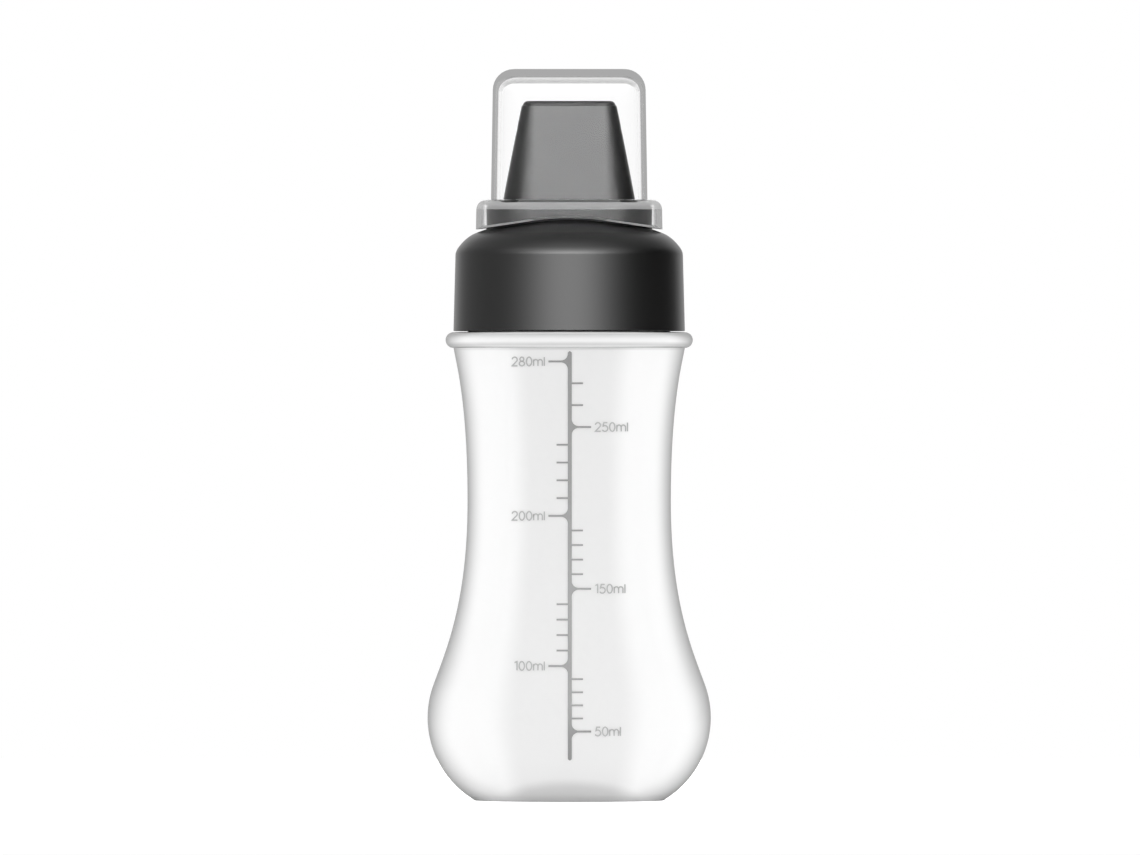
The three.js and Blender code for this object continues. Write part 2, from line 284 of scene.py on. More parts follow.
# Silicone of the ring, and ink
SEAL_TONE = (0.62, 0.62, 0.59, 1)
SEAL_ROUGHNESS = 0.5
SEAL_ROUGHER = 0.15
SEAL_GRAIN = 0.5 * MM
SEAL_BUMP = 0.01 * MM
INK_DARK = 0.25
INK_PALE = 0.28
INK_ROUGHNESS = 0.55
INK_GRAIN = 0.4 * MM
FIGURE_INK = 0.46

# Floor, and the room that lights pale surfaces
FLOOR_SIZE = 1.2
FLOOR_TONE = 0.92
FLOOR_GLOW = 0.8
FLOOR_BOUNCE = 0.2
ROOM_SIDE = 1.25
ROOM_FRONT = 0.6
ROOM_FALL = (0.5, 0.8)
ROOM_RISE = (0.2, 0.9)
ROOM_RIGHT = 1.04
ROOM_TOP = 0.9

# Studio that glossy surfaces mirror, and the level inside clear plastic
STUDIO_LEFT = 0.5
STUDIO_RIGHT = 0.0
STUDIO_SPREAD = (0.3, 0.95)
BACK_SPREAD = (0.68, 0.93)
KEY_LEVEL = 12
KEY_AHEAD = (-0.3, 0)
KEY_SPREAD = (0.1, 0.95)
KEY_FOOT = (0.03, 0.15)
KEY_HEAD = (0.1, 1)
KEY_TOP = 0.1
CLEAR_LEVEL = 0.45
NO_BOUNCE = 0.5
CLEAR_BOUNCES = 3.5

# Lamp and camera
LAMP_PLACE = (-0.05, -1.3, 0.62)
LAMP_TARGET = (0, 0, 0.1)
LAMP_SIZE = (1.7, 0.7)
LAMP_POWER = 2
CAMERA_LENS = 600
CAMERA_REACH = 100
FRAME_WIDTH = 1140
FRAME_HEIGHT = 855
AXIS_PIXEL = 569.2
BASE_PIXEL = 800.3
PIXEL = 0.254 * MM

# Fineness of the meshes
TURN_SIDES = 144
RING_SIDES = 96
HOLE_SIDES = 40
THREAD_SIDES = 72
SMOOTH_ANGLE = math.radians(32)
MERGE_DISTANCE = 0.001 * MM
EDGE_STEPS = 8
SMALL_EDGE_STEPS = 4
OUTSIDE_FINENESS = 3
INSIDE_FINENESS = 2
PRINTED_FINENESS = 4
BASE_STEPS = 10
BULGE_STEPS = 4
WAIST_STEPS = 10
FLARE_STEPS = 8
BEAD_STEPS = 16
THROAT_STEPS = 10
PUNT_STEPS = 14
PUNT_INNER_STEPS = 12
CAP_EDGE_STEPS = 5
CREASE_STEPS = 8
SHOULDER_STEPS = 50
DOME_STEPS = 16
ROOF_STEPS = 12
NOZZLE_STEPS = 6
MARK_STEPS = 14
MARK_ROWS = 8
SPINE_ROWS = 2


def oval(centre, reach, start, end, steps):
    """Points along an oval with its reach across and up, angles in degrees."""
    points = []
    for step in range(steps + 1):
        angle = math.radians(start + (end - start) * step / steps)
        points.append((centre[0] + reach[0] * math.cos(angle), centre[1] + reach[1] * math.sin(angle)))
    return points


def arc(centre, radius, start, end, steps):
    return oval(centre, (radius, radius), start, end, steps)


def curve(handles, steps):
    """Points of a Bezier curve with three or four handles."""
    points = []
    degree = len(handles) - 1
    for step in range(steps + 1):
        part = step / steps
        weights = [
            math.comb(degree, index) * part**index * (1 - part) ** (degree - index)
            for index in range(degree + 1)
        ]
        points.append(tuple(sum(w * h[axis] for w, h in zip(weights, handles)) for axis in (0, 1)))
    return points


def offset(outline, distance):
    """The outline moved sideways, to the left of its direction."""
    moved = []
    for index, (across, up) in enumerate(outline):
        before = outline[max(index - 1, 0)]
        after = outline[min(index + 1, len(outline) - 1)]
        run, rise = after[0] - before[0], after[1] - before[1]
        length = math.hypot(run, rise)
        moved.append((across - rise / length * distance, up + run / length * distance))
    return moved


def begin(name):
    """Names the primitive that was just added and opens it for editing."""
    piece = bpy.context.object
    piece.name = piece.data.name = name
    bpy.ops.object.transform_apply(location=True, rotation=True, scale=True)
    bpy.ops.object.mode_set(mode="EDIT")
    return piece


def close(piece):
    """Cleans the edited mesh and leaves it smooth, with its hard edges kept."""
    bpy.ops.mesh.select_all(action="SELECT")
    bpy.ops.mesh.remove_doubles(threshold=MERGE_DISTANCE)
    bpy.ops.mesh.normals_make_consistent(inside=False)
    bpy.ops.object.mode_set(mode="OBJECT")
    bpy.ops.object.shade_smooth_by_angle(angle=SMOOTH_ANGLE)
    bpy.ops.object.select_all(action="DESELECT")
    return piece


def from_points(name, corners, faces):
    """A piece made of given corners and faces, as the active one."""
    mesh = bpy.data.meshes.new(name)
    mesh.from_pydata(corners, [], faces)
    piece = bpy.data.objects.new(name, mesh)
    bpy.context.collection.objects.link(piece)
    bpy.context.view_layer.objects.active = piece
    return piece


def turned(name, section):
    """Draws a section of radius and height point by point and spins it about the axis."""
    bpy.ops.object.select_all(action="DESELECT")
    bpy.ops.mesh.primitive_plane_add(size=MM)
    piece = begin(name)
    bpy.ops.mesh.merge(type="CENTER")
    bpy.ops.transform.translate(value=(section[0][0], 0, section[0][1]))
    for before, after in zip(section, section[1:]):
        step = (after[0] - before[0], 0, after[1] - before[1])
        bpy.ops.mesh.extrude_region_move(TRANSFORM_OT_translate={"value": step})
    bpy.ops.mesh.select_all(action="SELECT")
    bpy.ops.mesh.spin(steps=TURN_SIDES, angle=math.tau, center=(0, 0, 0), axis=(0, 0, 1))
    return close(piece)


def ring(half_length, half_depth, corner, height):
    return {"half_length": half_length, "half_depth": half_depth, "corner": corner, "height": height}


def grown(base, distance, height):
    """A ring drawn in or out by one distance all round, at another height."""
    return ring(
        base["half_length"] + distance, base["half_depth"] + distance, base["corner"] + distance, height
    )


def quarter_angles():
    return [math.radians(90 * step / EDGE_STEPS) for step in range(EDGE_STEPS + 1)]


def rounded_top(base, radius, top):
    """Rings of a quarter-round edge that turns in at the top."""
    return [
        grown(base, radius * (math.cos(angle) - 1), top + radius * (math.sin(angle) - 1))
        for angle in quarter_angles()
    ]


def corner_centre(shape, side_x, side_y):
    return (
        side_x * (shape["half_length"] - shape["corner"]),
        side_y * (shape["half_depth"] - shape["corner"]),
        shape["height"],
    )


def select_only(piece, picked, wanted):
    """Selects those of the picked points whose place is a wanted one."""
    mesh = bmesh.from_edit_mesh(piece.data)
    mesh.verts.ensure_lookup_table()
    for vert in mesh.verts:
        vert.select = False
    for index in picked:
        vert = mesh.verts[index]
        vert.select = wanted(vert.co)
    mesh.select_flush_mode()
    bmesh.update_edit_mesh(piece.data)


def fit_ring(piece, old, new):
    """Turns the selected ring from one rounded outline into another, corner by corner."""
    mesh = bmesh.from_edit_mesh(piece.data)
    picked = [vert.index for vert in mesh.verts if vert.select]
    mesh.verts.index_update()
    scale = new["corner"] / old["corner"]
    for side_x, side_y in ((1, 1), (-1, 1), (-1, -1), (1, -1)):
        select_only(piece, picked, lambda spot: spot.x * side_x > 0 and spot.y * side_y > 0)
        here = corner_centre(dict(old, height=new["height"]), side_x, side_y)
        there = corner_centre(new, side_x, side_y)
        bpy.ops.transform.resize(value=(scale, scale, 1), center_override=here)
        bpy.ops.transform.translate(value=(there[0] - here[0], there[1] - here[1], 0))
    select_only(piece, picked, lambda spot: True)


def stacked(name, rings):
    """Starts from a disc and extrudes it ring by ring."""
    bpy.ops.object.select_all(action="DESELECT")
    first = rings[0]
    bpy.ops.mesh.primitive_circle_add(
        vertices=RING_SIDES,
        radius=first["corner"],
        fill_type="NGON",
        location=(0, 0, first["height"]),
        rotation=(0, 0, math.pi / RING_SIDES),
    )
    piece = begin(name)
    bpy.ops.mesh.select_mode(type="VERT")
    round_start = ring(first["corner"], first["corner"], first["corner"], first["height"])
    fit_ring(piece, round_start, first)
    for before, after in zip(rings, rings[1:]):
        rise = after["height"] - before["height"]
        bpy.ops.mesh.extrude_region_move(TRANSFORM_OT_translate={"value": (0, 0, rise)})
        fit_ring(piece, before, after)
    return close(piece)


def combine(piece, tool, operation):
    """Joins a tool to a piece or cuts it away, and removes the tool."""
    change = piece.modifiers.new(operation.lower(), "BOOLEAN")
    change.operation = operation
    change.solver = "EXACT"
    change.object = tool
    bpy.context.view_layer.objects.active = piece
    bpy.ops.object.modifier_apply(modifier=change.name)
    bpy.data.objects.remove(tool)


def settle_shading(piece):
    """Keeps broad faces flat in their shading, next to small rounded edges."""
    bpy.ops.object.select_all(action="DESELECT")
    piece.select_set(True)
    bpy.context.view_layer.objects.active = piece
    bpy.ops.object.shade_smooth_by_angle(angle=SMOOTH_ANGLE)
    steady = piece.modifiers.new("steady_normals", "WEIGHTED_NORMAL")
    steady.keep_sharp = True
    bpy.ops.object.modifier_apply(modifier=steady.name)
    piece.select_set(False)


def thread_ridge(name, wall_radius, outward, turns, start_turn, start_height):
    """A helical ridge that runs out into the wall at both ends."""
    side = 1 if outward else -1
    root = wall_radius - side * THREAD_ROOT
    steps = round(turns * THREAD_SIDES)
    corners = []
    for step in range(steps + 1):
        turn = turns * step / steps
        rise = max(min(turn, turns - turn) / THREAD_RUN_OUT, THREAD_LEAST_RISE)
        crest = root + side * (THREAD_ROOT + THREAD_HEIGHT) * min(rise, 1)
        angle = math.tau * (start_turn + turn)
        height = start_height + turn * THREAD_LEAD
        section = (
            (root, THREAD_ROOT_WIDTH / 2),
            (crest, THREAD_CREST_WIDTH / 2),
            (crest, -THREAD_CREST_WIDTH / 2),
            (root, -THREAD_ROOT_WIDTH / 2),
        )
        for radius, lift in section:
            corners.append((radius * math.cos(angle), radius * math.sin(angle), height + lift))
    faces = [(3, 2, 1, 0), tuple(4 * steps + index for index in range(4))]
    for step in range(steps):
        low, high = 4 * step, 4 * step + 4
        for index in range(4):
            after = (index + 1) % 4
            faces.append((low + index, low + after, high + after, high + index))
    piece = from_points(name, corners, faces)
    piece.select_set(True)
    bpy.ops.object.mode_set(mode="EDIT")
    return close(piece)


def body_outline(fineness):
    """Outer line of the blown body, from the base up to the bead."""
    reach = BULGE_RADIUS - BASE_RADIUS
    bulge_arc = (reach**2 + BULGE_HEIGHT**2) / (2 * reach)
    centre = (BULGE_RADIUS - bulge_arc, BULGE_HEIGHT)
    base_angle = math.degrees(math.asin(BULGE_HEIGHT / bulge_arc))
    base = arc(centre, bulge_arc, -base_angle, 0, BASE_STEPS * fineness)
    bulge = arc(centre, bulge_arc, 0, BULGE_TOP_ANGLE, BULGE_STEPS * fineness)

    start = bulge[-1]
    drop = WAIST_HEIGHT - start[1]
    slope = math.radians(BULGE_TOP_ANGLE)
    pull = BULGE_PULL * drop
    waist = (WAIST_RADIUS, WAIST_HEIGHT)
    over_bulge = (start[0] - pull * math.sin(slope), start[1] + pull * math.cos(slope))
    under_waist = (WAIST_RADIUS, WAIST_HEIGHT - WAIST_PULL_DOWN * drop)
    lower = curve([start, over_bulge, under_waist, waist], WAIST_STEPS * fineness)

    rise = BODY_HEIGHT - WAIST_HEIGHT
    flare = math.radians(FLARE_ANGLE)
    pull = FLARE_PULL * rise
    top = (BEAD_RADIUS - BEAD_HEIGHT / 2, BODY_HEIGHT)
    over_waist = (WAIST_RADIUS, WAIST_HEIGHT + WAIST_PULL_UP * rise)
    under_top = (top[0] - pull * math.sin(flare), top[1] - pull * math.cos(flare))
    upper = curve([waist, over_waist, under_top, top], FLARE_STEPS * fineness)
    return base + bulge[1:] + lower[1:] + upper[1:]


def punt_outline(lift, steps):
    """Underside of the base, pushed up in the middle."""
    stand_inner = BASE_RADIUS - STAND_WIDTH
    radius = (stand_inner**2 + PUNT_HEIGHT**2) / (2 * PUNT_HEIGHT)
    edge_angle = math.degrees(math.acos(stand_inner / radius))
    points = arc((0, PUNT_HEIGHT - radius + lift), radius, 90, edge_angle, steps)
    return [(max(across, 0), up) for across, up in points]


def make_bottle():
    """One shell of revolution, drawn from its underside up to the lip and down inside."""
    outside = offset(body_outline(OUTSIDE_FINENESS), INK_THICKNESS)
    outside[0] = (BASE_RADIUS, 0)
    below_bead = body_outline(INSIDE_FINENESS)[:-2]
    inside = offset(below_bead, BOTTLE_WALL)[::-1]
    bead_centre = (BEAD_RADIUS - BEAD_HEIGHT / 2, BODY_HEIGHT + BEAD_HEIGHT / 2)
    bead = arc(bead_centre, BEAD_HEIGHT / 2, -90, 90, BEAD_STEPS)
    foot_centre = (NECK_RADIUS + NECK_FOOT_ROUND, BEAD_TOP + NECK_FOOT_ROUND)
    neck_foot = arc(foot_centre, NECK_FOOT_ROUND, 270, 180, SMALL_EDGE_STEPS)
    lip_centre = (NECK_RADIUS - LIP_ROUND, NECK_TOP - LIP_ROUND)
    lip = arc(lip_centre, LIP_ROUND, 0, 90, SMALL_EDGE_STEPS)
    neck_bore = NECK_RADIUS - NECK_WALL
    throat_handles = [(neck_bore, BEAD_TOP), (neck_bore, BODY_HEIGHT + BOTTLE_WALL), inside[0]]
    section = [
        *punt_outline(0, PUNT_STEPS),
        *outside,
        *bead[1:],
        *neck_foot,
        *lip,
        (neck_bore, NECK_TOP),
        *curve(throat_handles, THROAT_STEPS),
        *inside[1:],
        *punt_outline(BOTTLE_WALL, PUNT_INNER_STEPS)[::-1],
    ]
    bottle = turned("blown_bottle", section)
    thread = thread_ridge(
        "neck_thread",
        NECK_RADIUS,
        outward=True,
        turns=THREAD_TURNS,
        start_turn=0,
        start_height=BEAD_TOP + THREAD_START,
    )
    combine(bottle, thread, "UNION")
    return bottle


def make_seal():
    low, high, outer = seal_low[2], seal_high[2], seal_high[0]
    section = [
        (SEAL_INNER, low + SEAL_EDGE),
        (SEAL_INNER + SEAL_EDGE, low),
        *arc((outer - SEAL_EDGE, low + SEAL_EDGE), SEAL_EDGE, -90, 0, SMALL_EDGE_STEPS),
        *arc((outer - SEAL_EDGE, high - SEAL_EDGE), SEAL_EDGE, 0, 90, SMALL_EDGE_STEPS),
        (SEAL_INNER + SEAL_EDGE, high),
        (SEAL_INNER, high - SEAL_EDGE),
        (SEAL_INNER, low + SEAL_EDGE),
    ]
    return turned("sealing_ring", section)


def cap_outline():
    """Outer line of the cap's wall, shoulder and dome, from its lower edge to the axis."""
    foot_centre = (CAP_FOOT_RADIUS - CAP_EDGE_ROUND, CAP_BOTTOM + CAP_EDGE_ROUND)
    foot = arc(foot_centre, CAP_EDGE_ROUND, -90, 0, CAP_EDGE_STEPS)
    blend_radius = CAP_TOP_RADIUS - SHOULDER_SPAN
    blend_angle = math.acos(blend_radius / DOME_RADIUS)
    blend = (blend_radius, DOME_CENTRE + DOME_RADIUS * math.sin(blend_angle))
    crease = (CAP_TOP_RADIUS, SEAT_HEIGHT - CREASE_DROP)
    fullest = SHOULDER_SPAN * SHOULDER_FULLNESS
    control = (blend_radius + fullest, blend[1] - fullest / math.tan(blend_angle))
    whole_shoulder = curve([crease, control, blend], SHOULDER_STEPS)
    shoulder = whole_shoulder[round(SHOULDER_STEPS * SHOULDER_LOW):]
    under_crease = (CAP_TOP_RADIUS, crease[1] - CAP_CREASE)
    crease_round = curve([under_crease, crease, shoulder[0]], CREASE_STEPS)
    dome = arc((0, DOME_CENTRE), DOME_RADIUS, math.degrees(blend_angle), 90, DOME_STEPS)
    return [*foot, *crease_round, *shoulder[2::2], *dome[1:-1], (0, DOME_APEX)]


def cap_hollow():
    """The space inside the cap: bore, seat for the ring and underside of the dome."""
    below = CAP_BOTTOM - CUT_PAST
    seat_inner = SEAL_INNER - SEAT_SHELF
    under_radius = DOME_RADIUS - ROOF_WALL
    under_angle = math.degrees(math.acos(seat_inner / under_radius))
    under = arc((0, DOME_CENTRE), under_radius, under_angle, 90, ROOF_STEPS)
    section = [
        (0, below),
        (CAP_BORE, below),
        (CAP_BORE, SEAT_HEIGHT),
        (seat_inner, SEAT_HEIGHT),
        *under[:-1],
        (0, DOME_CENTRE + under_radius),
    ]
    return turned("cap_hollow", section)


def plinth_ring():
    return ring(PLINTH_HALF_LENGTH, PLINTH_HALF_DEPTH, PLINTH_CORNER, PLINTH_TOP)


def nozzle_ring(height):
    """The nozzle's outline at a height above the plinth."""
    part = height / NOZZLE_HEIGHT
    radius = NOZZLE_BASE_RADIUS + (NOZZLE_TOP_RADIUS - NOZZLE_BASE_RADIUS) * part
    return ring(NOZZLE_HALF_LINE + radius, radius, radius, PLINTH_TOP + height)


def make_nozzle():
    """The nozzle with a hollow round at its foot, tapered walls and a rounded top."""
    rings = [grown(nozzle_ring(0), NOZZLE_FOOT, PLINTH_TOP - ROOF_WALL / 2)]
    for angle in quarter_angles():
        height = NOZZLE_FOOT * (1 - math.cos(angle))
        foot = NOZZLE_FOOT * (1 - math.sin(angle))
        rings.append(grown(nozzle_ring(height), foot, PLINTH_TOP + height))
    for step in range(1, NOZZLE_STEPS + 1):
        height = NOZZLE_FOOT + (NOZZLE_HEIGHT - NOZZLE_ROUND - NOZZLE_FOOT) * step / NOZZLE_STEPS
        rings.append(nozzle_ring(height))
    rings.extend(rounded_top(nozzle_ring(NOZZLE_HEIGHT), NOZZLE_ROUND, NOZZLE_TOP)[1:])
    return stacked("nozzle", rings)


def nozzle_hollow():
    """The space inside the nozzle, open to the plinth."""
    foot = nozzle_ring(0)
    roof = NOZZLE_TOP - NOZZLE_WALL
    rings = [
        grown(foot, -NOZZLE_WALL, PLINTH_TOP - 2 * ROOF_WALL),
        grown(foot, -NOZZLE_WALL, PLINTH_TOP),
        grown(nozzle_ring(roof - PLINTH_TOP), -NOZZLE_WALL, roof),
    ]
    return stacked("nozzle_hollow", rings)


def pouring_hole(index):
    """The cutter of one pouring hole."""
    pitch = 2 * NOZZLE_HALF_LINE / (HOLE_COUNT - 1)
    bpy.ops.object.select_all(action="DESELECT")
    bpy.ops.mesh.primitive_cylinder_add(
        vertices=HOLE_SIDES,
        radius=HOLE_RADIUS,
        depth=HOLE_DEPTH,
        location=(index * pitch - NOZZLE_HALF_LINE, 0, NOZZLE_TOP),
    )
    return close(begin("pouring_hole"))


def make_cap():
    """Joins the outer forms first, then opens them from inside and adds the thread."""
    cap = turned("screw_cap_shell", [(0, CAP_BOTTOM), *cap_outline()])
    base = plinth_ring()
    sides = [grown(base, 0, SEAT_HEIGHT), *rounded_top(base, PLINTH_ROUND, PLINTH_TOP)]
    combine(cap, stacked("plinth", sides), "UNION")
    combine(cap, make_nozzle(), "UNION")
    combine(cap, cap_hollow(), "DIFFERENCE")
    room = [grown(base, -ROOF_WALL, height) for height in (SEAT_HEIGHT, PLINTH_TOP - ROOF_WALL)]
    combine(cap, stacked("plinth_hollow", room), "DIFFERENCE")
    combine(cap, nozzle_hollow(), "DIFFERENCE")
    for index in range(HOLE_COUNT):
        combine(cap, pouring_hole(index), "DIFFERENCE")
    flanks = (THREAD_ROOT_WIDTH + THREAD_CREST_WIDTH) / 2
    start = BEAD_TOP + THREAD_START + THREAD_OVERLAP * THREAD_LEAD - flanks - THREAD_FLANK_GAP
    thread = thread_ridge(
        "cap_thread",
        CAP_BORE,
        outward=False,
        turns=THREAD_TURNS - THREAD_OVERLAP,
        start_turn=THREAD_OVERLAP,
        start_height=start,
    )
    combine(cap, thread, "UNION")
    return cap


def make_cover():
    """One clear box whose shelf and skirt sit over the plinth, cut below to the dome's curve."""
    skirt = grown(plinth_ring(), COVER_FIT, 0)
    foot = nozzle_ring(0)
    box = ring(
        foot["half_length"] + COVER_AROUND, foot["half_depth"] + COVER_AROUND, COVER_CORNER - COVER_WALL, 0
    )
    skirt_outer = grown(skirt, COVER_SKIRT_WALL, 0)
    box_outer_top = grown(box, COVER_WALL - COVER_DRAFT, 0)
    outer_rings = [
        grown(skirt_outer, COVER_SKIRT_DRAFT, SEAT_HEIGHT),
        *rounded_top(skirt_outer, COVER_SHELF_ROUND, COVER_SHELF_TOP),
        grown(box, COVER_WALL, COVER_SHELF_TOP),
        *rounded_top(box_outer_top, COVER_ROUND, COVER_TOP),
    ]
    inner_rings = [
        grown(skirt, COVER_SKIRT_DRAFT, SEAT_HEIGHT - CUT_PAST),
        grown(skirt, 0, COVER_SHELF_UNDER),
        grown(box, 0, COVER_SHELF_UNDER),
        *rounded_top(grown(box, -COVER_DRAFT, 0), COVER_ROUND - COVER_WALL, COVER_TOP - COVER_ROOF),
    ]
    cover = stacked("clear_cover", outer_rings)
    combine(cover, stacked("cover_hollow", inner_rings), "DIFFERENCE")
    dome_space = offset(cap_outline(), -COVER_RIM_GAP)
    dome_space[-1] = (0, DOME_APEX + COVER_RIM_GAP)
    combine(cover, turned("dome_space", [(0, CAP_BOTTOM), *dome_space]), "DIFFERENCE")
    return cover


def mark_cover(piece):
    """Marks the cover's outer skin, and how much pale satin, a painted highlight, its shelf, skirt and
    lower rim show.
    """
    skin = piece.data.attributes.new("outer_skin", "FLOAT", "FACE")
    satin = piece.data.attributes.new("satin_highlight_share", "FLOAT", "FACE")
    middle = Vector((0, 0, (PLINTH_TOP + COVER_TOP) / 2))
    shelf_foot = COVER_SHELF_TOP - COVER_SHELF_ROUND
    straight = PLINTH_HALF_LENGTH - PLINTH_CORNER + ZONE_MARGIN
    for face in piece.data.polygons:
        outward = face.normal.dot(face.center - middle) > 0
        skin.data[face.index].value = float(outward)
        height = face.center.z
        share = 0
        if outward and shelf_foot < height < COVER_SHELF_TOP - ZONE_MARGIN:
            share = SHELF_SATIN_HIGHLIGHT
        elif height < COVER_SHELF_UNDER - RIM_BELOW_SHELF and face.normal.z < RIM_FACING:
            share = RIM_HIGHLIGHT_FRONT if abs(face.center.x) < straight else RIM_HIGHLIGHT_ENDS
        elif outward and height < shelf_foot:
            share = SKIRT_SATIN_HIGHLIGHT
        satin.data[face.index].value = share


PRINTED_LINE = body_outline(PRINTED_FINENESS)


def surface_radius(height):
    """Radius of the bottle's printed surface at a height."""
    for (low_radius, low), (high_radius, high) in zip(PRINTED_LINE, PRINTED_LINE[1:]):
        if low <= height <= high:
            return low_radius + (high_radius - low_radius) * (height - low) / (high - low)
    raise ValueError("height off the body")


def on_bottle(across, height):
    """Lays a point of the flat artwork on the front of the bottle."""
    return (across, -math.sqrt(surface_radius(height) ** 2 - across**2), height)


def evenly(path, step):
    """The path with points added so that none lies further than a step from the next."""
    points = [path[0]]
    for before, after in zip(path, path[1:]):
        parts = max(1, math.ceil(math.dist(before, after) / step))
        for part in range(1, parts + 1):
            share = part / parts
            points.append(tuple(b + (a - b) * share for b, a in zip(before, after)))
    return points


def ribbon(artwork, path, half_width, rows=1):
    """Adds a stroke along a path, which may be a loop; its half-width varies along it."""
    corners, faces = artwork
    looped = math.dist(path[0], path[-1]) < LOOP_GAP
    path = evenly(path, RIBBON_STEP)
    if looped:
        path = path[:-1]
    count = len(path)
    first = len(corners)
    for index, here in enumerate(path):
        before = path[index - 1] if looped or index else here
        after = path[(index + 1) % count] if looped or index + 1 < count else here
        way_in = (here[0] - before[0], here[1] - before[1])
        way_out = (after[0] - here[0], after[1] - here[1])
        ways = [way for way in (way_in, way_out) if math.hypot(*way) > 0]
        units = [(way[0] / math.hypot(*way), way[1] / math.hypot(*way)) for way in ways]
        along = [sum(unit[axis] for unit in units) for axis in (0, 1)]
        length = math.hypot(*along)
        lean = length / len(units)
        half = half_width(index / (count - 1)) / max(lean, SHARPEST_BEND)
        for row in range(rows + 1):
            reach = half * (2 * row / rows - 1)
            across = here[0] - along[1] / length * reach
            height = here[1] + along[0] / length * reach
            corners.append(on_bottle(across, height))
    spans = count if looped else count - 1
    for index in range(spans):
        low = first + index * (rows + 1)
        high = first + (index + 1) % count * (rows + 1)
        for row in range(rows):
            faces.append((low + row, high + row, high + row + 1, low + row + 1))


def stroke(artwork, path, width):
    ribbon(artwork, path, lambda part: width / 2)


def figure_strokes():
    """Widths and centre lines of the plain figures and letters, in units of their height."""
    half = FIGURE_WIDTH / 2
    zero = oval((half, 0.5), (half, 0.5), 0, 360, 24)
    upper = oval((half, 0.76), (0.22, 0.24), -90, 270, 20)
    lower = oval((half, 0.26), (half, 0.26), 90, 450, 24)
    two = arc((half, 0.71), 0.29, 172, -38, 16)
    bowl = arc((0.28, 0.33), 0.33, 128, -150, 20)
    first_arch = arc((0.25, 0.47), 0.25, 180, 0, 12)
    second_arch = [(across + 0.5, height) for across, height in first_arch]
    return {
        "0": (FIGURE_WIDTH, [zero]),
        "1": (0.3, [[(0, 0.88), (0.27, 1), (0.27, 0)]]),
        "2": (FIGURE_WIDTH, [[*two, (0, 0), (0.62, 0)]]),
        "5": (FIGURE_WIDTH, [[(0.56, 1), (0.16, 1), *bowl]]),
        "8": (FIGURE_WIDTH, [upper, lower]),
        "m": (1, [[(0, 0.72), (0, 0)], [*first_arch, (0.5, 0)], [*second_arch, (1, 0)]]),
        "l": (0, [[(0, 1), (0, 0)]]),
    }


def label_width(figures, text):
    widths = [figures[letter][0] * FIGURE_HEIGHT for letter in text]
    return sum(widths) + FIGURE_SPACE * (len(text) - 1)


def print_label(artwork, figures, text, left, middle):
    """Writes a number from its left end, centred on its mark's height, and returns its faces."""
    first_face = len(artwork[1])
    foot = middle - FIGURE_HEIGHT / 2
    for letter in text:
        width, lines = figures[letter]
        for line in lines:
            path = [(left + across * FIGURE_HEIGHT, foot + up * FIGURE_HEIGHT) for across, up in line]
            stroke(artwork, path, FIGURE_STROKE)
        left += width * FIGURE_HEIGHT + FIGURE_SPACE
    return range(first_face, len(artwork[1]))


def print_mark(artwork, height, side):
    """A numbered mark, which flares into the spine in two hollow curves."""
    edge = SCALE_CENTRE + side * SPINE_WIDTH / 2

    def flare_half(part):
        left = MARK_FLARE - part**2 * MARK_FLARE
        return MARK_WIDTH / 2 + MARK_FLARE - math.sqrt(MARK_FLARE**2 - left**2)

    shares = [(step / MARK_STEPS) ** 2 for step in range(MARK_STEPS + 1)]
    flare = [(edge + side * MARK_FLARE * share, height) for share in shares]
    ribbon(artwork, flare, flare_half, rows=MARK_ROWS)
    flare_end = edge + side * MARK_FLARE
    stroke(artwork, [(flare_end, height), (edge + side * MARK_LENGTH, height)], MARK_WIDTH)


def print_steps(artwork):
    """The short steps between the numbered marks, on the side of the lower one."""
    for (above, high, _), (below, low, side) in zip(SCALE_MARKS, SCALE_MARKS[1:]):
        steps = (above - below) // STEP_VOLUME
        edge = SCALE_CENTRE + side * SPINE_WIDTH / 2
        for step in range(1, steps):
            height = high + (low - high) * step / steps
            stroke(artwork, [(edge, height), (edge + side * STEP_LENGTH, height)], STEP_WIDTH)


def make_printed_scale():
    """The spine, the marks with their numbers and the steps, as one thin film of ink."""
    artwork = ([], [])
    spine_radius = SPINE_WIDTH / 2
    top, foot = SCALE_TOP - spine_radius, SCALE_FOOT + spine_radius

    def spine_half(part):
        height = SCALE_TOP + (SCALE_FOOT - SCALE_TOP) * part
        past = max(height - top, foot - height, 0)
        return math.sqrt(max(spine_radius**2 - past**2, (SPINE_TIP * spine_radius) ** 2))

    spine = [(SCALE_CENTRE, SCALE_TOP), (SCALE_CENTRE, SCALE_FOOT)]
    ribbon(artwork, spine, spine_half, rows=SPINE_ROWS)
    figures = figure_strokes()
    figure_faces = []
    for volume, height, side in SCALE_MARKS:
        print_mark(artwork, height, side)
        text = f"{volume}ml"
        tip = SCALE_CENTRE + side * (SPINE_WIDTH / 2 + MARK_LENGTH + LABEL_GAP)
        start = tip if side > 0 else tip - label_width(figures, text)
        figure_faces.extend(print_label(artwork, figures, text, start, height))
    print_steps(artwork)
    piece = from_points("printed_scale", *artwork)
    pale = piece.data.attributes.new("pale_ink", "FLOAT", "FACE")
    for index in figure_faces:
        pale.data[index].value = 1
    film = piece.modifiers.new("film", "SOLIDIFY")
    film.thickness = FILM_SHARE * INK_THICKNESS
    film.offset = -1
    bpy.ops.object.modifier_apply(modifier=film.name)
    return piece


